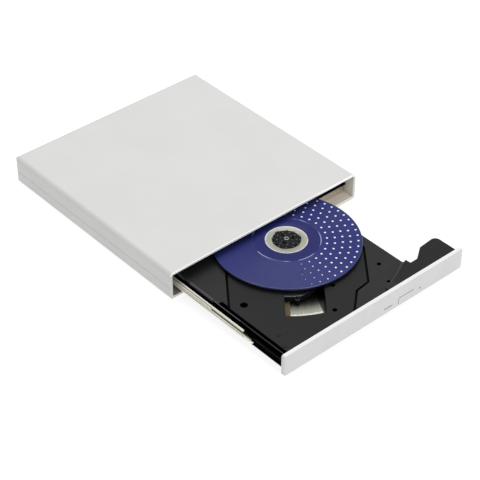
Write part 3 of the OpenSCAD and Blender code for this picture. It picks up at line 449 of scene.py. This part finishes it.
# disc
def disc_print():
    """Blue print with rings of small white dots, which shrink towards the ends of a wide sweep."""
    row, gap = 4.1, 4.7
    dot, smallest, soft = 0.56, 0.15, 0.06
    first, last = 21.4, 38.6
    sweep_middle, sweep_half, fade = (math.radians(a) for a in (-18, 112, 46))
    paint = Paint("disc_print", (0.026, 0.031, 0.145), 0.36, specular_ior_level=0.1)
    radius, angle = paint.polar(DISC_CENTRE)
    outward = paint.math("SUBTRACT", radius, first)
    index = paint.math("ROUND", paint.math("DIVIDE", outward, row))
    ring = paint.math("MULTIPLY_ADD", index, row, first)
    count = paint.math("ROUND", paint.math("MULTIPLY", ring, 2 * math.pi / gap))
    step = paint.math("DIVIDE", 2 * math.pi, count)
    shift = paint.math("MULTIPLY", index, 0.5)
    place = paint.math("ADD", paint.math("DIVIDE", angle, step), shift)
    nearest = paint.math("ROUND", place)
    turn_off = paint.math("MULTIPLY", paint.math("SUBTRACT", place, nearest), step)
    across = paint.math("MULTIPLY", turn_off, ring)
    along = paint.math("SUBTRACT", radius, ring)
    aside = paint.add("CombineXYZ", {"X": across, "Y": along}).outputs[0]
    away = paint.add("VectorMath", {0: aside}, operation="LENGTH").outputs["Value"]
    heading = paint.math("MULTIPLY", paint.math("SUBTRACT", nearest, shift), step)
    turned = paint.math("SUBTRACT", heading, sweep_middle)
    off = paint.math("ABSOLUTE", paint.math("WRAP", turned, math.pi, -math.pi))
    size = paint.spread(off, sweep_half, sweep_half - fade, 0.0, dot)
    spot = paint.spread(paint.math("SUBTRACT", away, size), soft, -soft)
    shown = paint.math("MULTIPLY", paint.math("GREATER_THAN", size, smallest), spot)
    inside = paint.math("MULTIPLY", paint.math("GREATER_THAN", radius, first - row / 2),
                        paint.math("LESS_THAN", radius, last))
    paint.mottle(22.0, 0.05)
    inner_part = paint.spread(radius, STACK_RING_R + 0.3, STACK_RING_R - 0.5, 0.0, 0.5)
    paint.tint(inner_part, (0.010, 0.011, 0.085))
    # painted highlight: pale patchy arcs on the stacking ring's crest
    ring_edge = paint.math("ABSOLUTE", paint.math("SUBTRACT", radius, STACK_RING_R))
    paler_patch = paint.spread(paint.noise(9.0), 0.42, 0.56, 0.0, 0.8)
    crest_highlight = paint.math("MULTIPLY", paint.spread(ring_edge, 0.3, 0.12), paler_patch)
    paint.tint(crest_highlight, (0.42, 0.44, 0.66))
    paint.tint(paint.math("MULTIPLY", shown, inside), (0.80, 0.81, 0.86))
    paint.gloss(4.0, 0.04)
    return paint.material


def disc_clear():
    """Bare ring with fine grooves, dark at the hole and white along the edge of the print."""
    paint = Paint("disc_clear", (0.36, 0.37, 0.30), 0.22, specular_ior_level=0.4)
    radius = paint.polar(DISC_CENTRE)[0]
    rings = paint.math("SINE", paint.math("MULTIPLY", radius, 4.2))
    paint.tint(paint.spread(rings, 0.2, 0.9, 0.0, 0.45), (0.26, 0.265, 0.21))
    paint.tint(paint.spread(radius, HOLE_R + 0.45, HOLE_R + 0.1), (0.05, 0.05, 0.045))
    paint.tint(paint.spread(radius, CLEAR_R - 0.1, CLEAR_R), (0.72, 0.72, 0.75))
    paint.mottle(3.0, 0.06)
    paint.relief(rings, 0.02)
    return paint.material


def disc_rim():
    """Outer edge of the disc, dark and glossy."""
    paint = Paint("disc_rim", (0.03, 0.034, 0.12), 0.14, specular_ior_level=0.7)
    paint.mottle(2.0, 0.08)
    paint.gloss(1.5, 0.04)
    return paint.material


def disc_data():
    """Data side: a mirror with a faint violet cast."""
    paint = Paint("disc_data", (0.52, 0.48, 0.62), 0.12, metallic=0.9, coat_weight=0.6)
    radius = paint.polar(DISC_CENTRE)[0]
    bands = paint.math("SINE", paint.math("MULTIPLY", radius, 1.7))
    paint.tint(paint.spread(bands, -0.4, 1.0, 0.0, 0.6), (0.36, 0.46, 0.60))
    return paint.material


LOOKS = {
    "case": case_plastic(),
    "bezel": bezel_plastic(),
    "foot": foot_rubber(),
    "foam": pad_foam(),
    "tray": tray_plastic(),
    "cover": cover_paint(),
    "sheet": rolled_steel("sheet_steel", (0.70, 0.65, 0.57), 0.38),
    "base": rolled_steel("base_steel", (0.26, 0.255, 0.245), 0.48),
    "pan": rolled_steel("pan_steel", (0.70, 0.65, 0.57), 0.38, shade_box=pan_lip()),
    "frame": frame_steel(),
    "rail": rail_steel(),
    "screw": rolled_steel("screw_steel", (0.42, 0.43, 0.44), 0.3),
    "plated": rolled_steel("plated_steel", (0.74, 0.75, 0.76), 0.24, streak=0.04),
    "motor": rolled_steel("motor_metal", (0.50, 0.51, 0.52), 0.34),
    "tip": rolled_steel("tip_metal", (0.20, 0.205, 0.20), 0.4),
    # painted shade: dark steel on the shield, lying under the disc's shadow
    "shield": rolled_steel("shield_steel", (0.16, 0.163, 0.165), 0.42, turn=PATH_ANGLE),
    "shaft": turned_metal("ground_shaft", (0.68, 0.69, 0.70), 0.16),
    "thread": turned_metal("feed_thread", (0.60, 0.47, 0.24), 0.28, pitch=3.0, depth=0.2),
    "wire": wound_wire(),
    "board": board_lacquer(),
    "chip": moulded("chip_resin", (0.016, 0.017, 0.018), 0.55),
    "cream": moulded("connector_resin", (0.60, 0.55, 0.43), 0.5),
    "grey": moulded("guide_resin", (0.085, 0.09, 0.098), 0.5),
    "lever": moulded("lever_resin", (0.52, 0.48, 0.39), 0.45),
    "hub": moulded("hub_resin", (0.004, 0.004, 0.0042), 0.45, shine=0.12),
    # painted highlight: knobs a paler black than the hub, standing for glints
    "knob": moulded("knob_resin", (0.03, 0.03, 0.029), 0.36, shine=0.4),
    "sled": moulded("sled_casting", (0.007, 0.0072, 0.0075), 0.5, depth=0.02, shine=0.1,
                    paler_patch=SLED_POST),
    "ribbon": film_ribbon(),
    "pipe": frosted_pipe(),
    "glass": lens_glass(),
    "print": disc_print(),
    "clear": disc_clear(),
    "rim": disc_rim(),
    "data": disc_data(),
}

# which look each CAD node wears
NODE_LOOKS = {
    "case": ["top_cover", "bottom_cover"],
    "bezel": ["bezel", "eject_button"],
    "foot": ["rubber_feet", "dampers", "turntable_pad"],
    "tray": ["tray"],
    "cover": ["cover_plate"],
    "sheet": ["lid"],
    "base": ["base_plate"],
    "pan": ["pan"],
    "frame": ["traverse_frame", "spindle_base"],
    "rail": ["left_rail", "right_rail"],
    "screw": ["case_screws", "lid_screws", "cover_screws", "base_screws", "damper_screws",
              "latch_post", "plunger"],
    "plated": ["usb_port"],
    "motor": ["feed_motor", "rotor"],
    "shield": ["sled_shield"],
    "shaft": ["guide_shafts"],
    "thread": ["lead_screw"],
    "wire": ["coils", "solenoid"],
    "board": ["bridge_board", "main_board", "front_board"],
    "chip": ["bridge_parts", "main_parts", "key_switch", "power_jack"],
    "cream": ["link_socket", "link_plug"],
    "grey": ["left_guide", "right_guide"],
    "lever": ["latch_lever"],
    "hub": ["hub", "claw_a", "claw_b", "claw_c", "lens_holder"],
    "sled": ["sled"],
    "ribbon": ["pickup_ribbon"],
    "pipe": ["light_pipe", "lamp"],
    "glass": ["lens"],
    "foam": ["foam_pads"],
    "print": ["disc"],
}


def dress_nodes():
    for look, names in NODE_LOOKS.items():
        for name in names:
            mesh = nodes[name].data
            mesh.materials.clear()
            mesh.materials.append(LOOKS[look])


# pieces
def new_piece(name, mesh, body, looks):
    """Puts a mesh into the scene with its looks, and lets it ride on a CAD body."""
    piece = bpy.data.objects.new(name, mesh)
    bpy.context.scene.collection.objects.link(piece)
    for look in looks:
        mesh.materials.append(LOOKS[look])
    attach(piece, body)
    return piece


def lathe(name, centre, profile, pick, steps=192):
    """A closed ring about an upright axis.

    profile holds (radius, height) in millimetres, and pick gives the look of a strip.
    """
    shape = bmesh.new()
    rings = []
    for step in range(steps):
        angle = 2 * math.pi * step / steps
        spoke = Vector((math.cos(angle), math.sin(angle), 0.0))
        rings.append([shape.verts.new(centre + (r * spoke + h * UP) * MM) for r, h in profile])
    for here, there in zip(rings, rings[1:] + rings[:1]):
        for k in range(len(profile)):
            after = (k + 1) % len(profile)
            face = shape.faces.new((here[k], there[k], there[after], here[after]))
            face.material_index = pick(k)
            face.smooth = True
    bmesh.ops.recalc_face_normals(shape, faces=shape.faces)
    return finished(name, shape)


def finished(name, shape):
    mesh = bpy.data.meshes.new(name)
    shape.to_mesh(mesh)
    shape.free()
    return mesh


def make_disc():
    """The small disc: a bare ring round the hole, the print, a stacking ring and a rounded rim.

    The stacking ring is a low ridge on top, and a shallow groove lies under it.
    """
    top = (disc_high.z - DISC_CENTRE.z) / MM
    rim = DISC_R / MM
    soft, rim_slope, ink_slope = 0.12, 0.25, 0.05
    ridge, half, groove, flank = 0.16, 0.45, 0.14, 0.3
    ink = top + 0.02
    upper = [
        (HOLE_R, soft - top), (HOLE_R, top - soft), (HOLE_R + soft, top),
        (BAND_R, top), (BAND_R + ink_slope, ink),
        (STACK_RING_R - half - flank, ink), (STACK_RING_R - half, top),
        (STACK_RING_R - half / 2, top + ridge), (STACK_RING_R + half / 2, top + ridge),
        (STACK_RING_R + half, ink),
        (rim - rim_slope, ink), (rim, top - soft),
    ]
    lower = [
        (rim, soft - top), (rim - soft, -top),
        (STACK_RING_R + flank, -top), (STACK_RING_R, groove - top), (STACK_RING_R - flank, -top),
        (HOLE_R + soft, -top),
    ]
    clear, print_side, rim_side, data = 0, 1, 2, 3
    band_strip, rim_strip = 3, len(upper) - 2

    def pick(k):
        if band_strip < k < rim_strip:
            return print_side
        if k in (rim_strip, rim_strip + 1):
            return rim_side
        return data if k in (rim_strip + 2, rim_strip + 3) else clear

    mesh = lathe("small_disc", DISC_CENTRE, upper + lower, pick)
    disc = new_piece("small_disc", mesh, "spindle", ["clear", "print", "rim", "data"])
    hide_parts("disc")


def make_hub_knobs():
    """Rings of small round knobs on the hub, clear of its three claws."""
    first_claw = math.pi / 2
    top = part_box("hub")[1].z
    rings = ((12, 7.1, 0.62, -0.32), (9, 5.3, 0.66, 0.0), (6, 3.3, 0.5, 0.0))
    shape = bmesh.new()
    for count, ring, size, lift in rings:
        for k in range(count):
            angle = first_claw + (k + 0.5) * 2 * math.pi / count
            spoke = Vector((math.cos(angle), math.sin(angle), 0.0))
            spot = DISC_CENTRE.xy.to_3d() + ring * MM * spoke
            spot.z = top + lift * MM
            flat = Matrix.Diagonal((size * MM, size * MM, size * 0.5 * MM, 1.0))
            bmesh.ops.create_uvsphere(shape, u_segments=16, v_segments=8, radius=1.0,
                                      matrix=Matrix.Translation(spot) @ flat)
    for face in shape.faces:
        face.smooth = True
    new_piece("hub_knobs", finished("hub_knobs", shape), "spindle", ["knob"])


def make_spindle_tip():
    """Metal collar on the end of the spindle, with a dark centre."""
    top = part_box("rotor")[1].z
    centre = Vector((DISC_CENTRE.x, DISC_CENTRE.y, top))
    profile = [(0.04, 0.0), (0.04, 0.02), (0.6, 0.05), (0.72, 0.24), (1.35, 0.24), (1.5, 0.1),
               (1.5, 0.0)]
    dark_strip = 1
    mesh = lathe("spindle_tip", centre, profile, lambda k: 0 if k == dark_strip else 1, steps=48)
    new_piece("spindle_tip", mesh, "spindle", ["hub", "tip"])


def make_sled_lip():
    """Thin bright lip along the outer edge of the pickup, given along its path and across it."""
    lens_low, lens_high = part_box("lens")
    lens = (lens_low + lens_high) / 2
    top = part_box("sled_shield")[1].z
    edge = [(13.1, -5.0), (13.1, 2.0), (12.3, 6.0), (9.0, 10.6), (0.5, 17.4)]
    wide, tall = 0.3 * MM, 0.12 * MM
    turn = Matrix.Rotation(PATH_ANGLE, 3, "Z")
    outer = [lens.xy.to_3d() + turn @ (Vector((x, y, 0.0)) * MM) for x, y in edge]
    shape = bmesh.new()
    rows = []
    for here in outer:
        inner = here + (lens.xy.to_3d() - here).normalized() * wide
        corners = ((here, top - tall), (here, top + tall), (inner, top + tall), (inner, top - tall))
        rows.append([shape.verts.new((spot.x, spot.y, z)) for spot, z in corners])
    for here, there in zip(rows, rows[1:]):
        for k in range(4):
            shape.faces.new((here[k], there[k], there[(k + 1) % 4], here[(k + 1) % 4]))
    shape.faces.new(rows[0])
    shape.faces.new(rows[-1][::-1])
    bmesh.ops.recalc_face_normals(shape, faces=shape.faces)
    new_piece("sled_lip", finished("sled_lip", shape), "pickup", ["plated"])


def make_foam_pads():
    """Four soft pads between lid and case, bulging a little at the sides."""
    low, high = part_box("foam_pads")
    thick = high.z - low.z
    half = Vector((8.0, 4.0, 0.0)) * MM
    layers = ((0.0, 0.25), (0.3, 0.05), (0.7, 0.05), (1.0, 0.25))
    shape = bmesh.new()
    for x in (low.x + half.x, high.x - half.x):
        for y in (low.y + half.y, high.y - half.y):
            rows = []
            for share, inset in layers:
                wide, deep = half.x - inset * MM, half.y - inset * MM
                z = low.z + share * thick
                corners = ((-wide, -deep), (wide, -deep), (wide, deep), (-wide, deep))
                rows.append([shape.verts.new((x + a, y + b, z)) for a, b in corners])
            for under, over in zip(rows, rows[1:]):
                for k in range(4):
                    shape.faces.new((under[k], under[(k + 1) % 4], over[(k + 1) % 4], over[k]))
            shape.faces.new(rows[0][::-1])
            shape.faces.new(rows[-1])
    mesh = finished("foam_blocks", shape)
    pads = new_piece("foam_blocks", mesh, "case", ["foam"])
    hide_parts("foam_pads")


# stage
def make_floor():
    """Pale paper, a hair below the feet and wide enough to reach the horizon."""
    half, drop, glow = 60.0, -0.00005, 0.84
    mesh = bpy.data.meshes.new("floor")
    corners = [(-half, -half), (half, -half), (half, half), (-half, half)]
    mesh.from_pydata([(x, y, drop) for x, y in corners], [], [(0, 1, 2, 3)])
    floor = bpy.data.objects.new("floor", mesh)
    bpy.context.scene.collection.objects.link(floor)
    paint = Paint("floor_paper", (0.25, 0.25, 0.25), 0.9, specular_ior_level=0.0)
    paint.set("Emission Color", (1.0, 1.0, 1.0, 1.0))
    paint.set("Emission Strength", glow)
    mesh.materials.append(paint.material)


def make_light(name, place, size, power):
    """A square softbox that faces the object."""
    lamp = bpy.data.lights.new(name, "AREA")
    lamp.shape = "SQUARE"
    lamp.size = size
    lamp.energy = power
    holder = bpy.data.objects.new(name, lamp)
    holder.location = place
    holder.rotation_euler = (-Vector(place)).to_track_quat("-Z", "Y").to_euler()
    bpy.context.scene.collection.objects.link(holder)


def make_studio():
    """White surroundings, a large softbox above and a weaker one in front."""
    world = bpy.data.worlds.new("studio")
    world.use_nodes = True
    background = world.node_tree.nodes["Background"]
    background.inputs["Color"].default_value = (1.0, 1.0, 1.0, 1.0)
    background.inputs["Strength"].default_value = 0.60
    bpy.context.scene.world = world
    bpy.context.scene.view_settings.view_transform = "Standard"
    make_light("key_softbox", (0.35, 0.30, 1.35), size=1.0, power=12.8)
    make_light("front_fill", (0.0, -1.2, 0.6), size=0.8, power=4.0)


def make_camera():
    """The photograph's own view, with the frame taken as 480 pixels wide."""
    focal_px, frame_px, sensor = 1551.2, 480, 36.0
    place = Vector((-439.4, -500.0, 520.5)) * MM
    azimuth, elevation, roll = (math.radians(a) for a in (-41.68, 38.63, 0.4))
    data = bpy.data.cameras.new("photo_view")
    data.sensor_width = sensor
    data.lens = focal_px / frame_px * sensor
    data.clip_start = 0.01
    camera = bpy.data.objects.new("photo_view", data)
    camera.location = place
    tilt = math.pi / 2 - elevation
    heading = Matrix.Rotation(azimuth, 3, "Z") @ Matrix.Rotation(tilt, 3, "X")
    camera.rotation_euler = (heading @ Matrix.Rotation(roll, 3, "Z")).to_euler()
    bpy.context.scene.collection.objects.link(camera)
    bpy.context.scene.camera = camera


make_camera()
make_studio()
make_floor()
dress_nodes()
make_disc()
make_hub_knobs()
make_spindle_tip()
make_sled_lip()
make_foam_pads()
